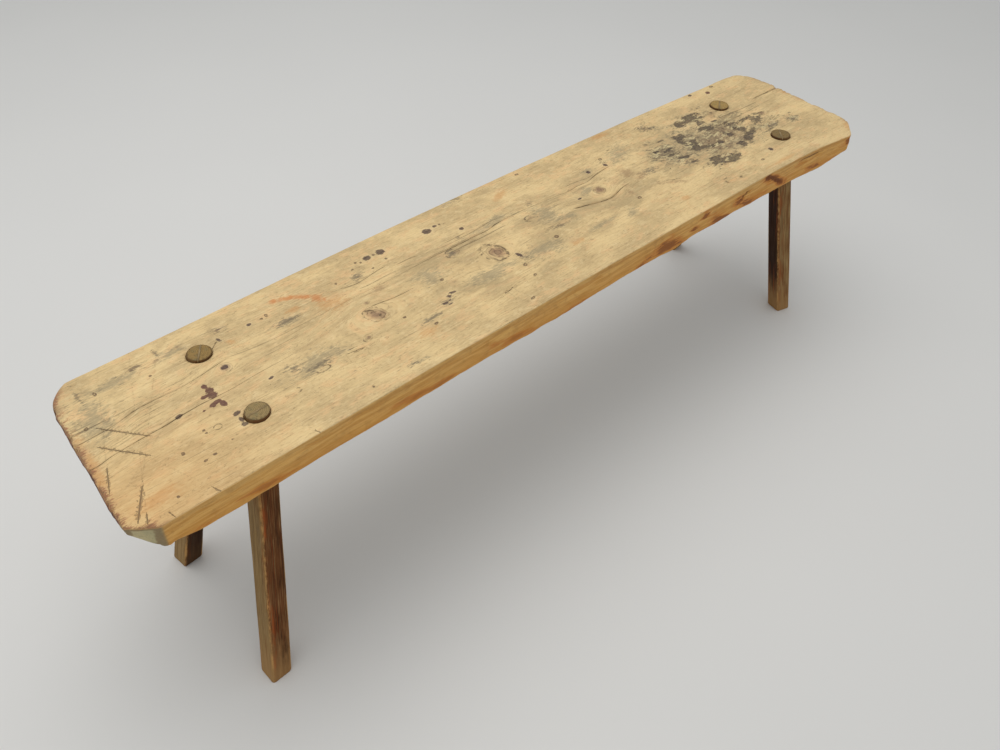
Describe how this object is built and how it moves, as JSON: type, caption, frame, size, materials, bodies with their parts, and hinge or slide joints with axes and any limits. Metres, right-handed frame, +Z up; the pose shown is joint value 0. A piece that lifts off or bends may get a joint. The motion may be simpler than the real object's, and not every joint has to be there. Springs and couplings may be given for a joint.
{
  "type": "backless bench",
  "caption": "Rustic backless bench: a thick plank seat with clipped corners on splayed, hewn legs whose round wedged tenons come through the top.",
  "frame": {"origin": "on the floor, under the middle of the bench's bounding box", "axes": "+X along the seat towards its right end, +Y across the seat towards its back edge, +Z up from the floor"},
  "size_m": [1.6612, 0.4012, 0.484],
  "materials": {
    "seat_wood": "weathered bare pine, matt, worn smooth on top with stains, knots and drying cracks",
    "leg_wood": "hewn pine, matt, darkened red-brown with age",
    "wedge_wood": "weathered end grain, matt, grey-brown"
  },
  "bodies": {
    "root": {"seat_plank": "seat_wood", "leg_front_left": "leg_wood", "leg_back_left": "leg_wood", "leg_front_right": "leg_wood", "leg_back_right": "leg_wood", "wedge_front_left": "wedge_wood", "wedge_back_left": "wedge_wood", "wedge_front_right": "wedge_wood", "wedge_back_right": "wedge_wood"}
  },
  "joints": []
}
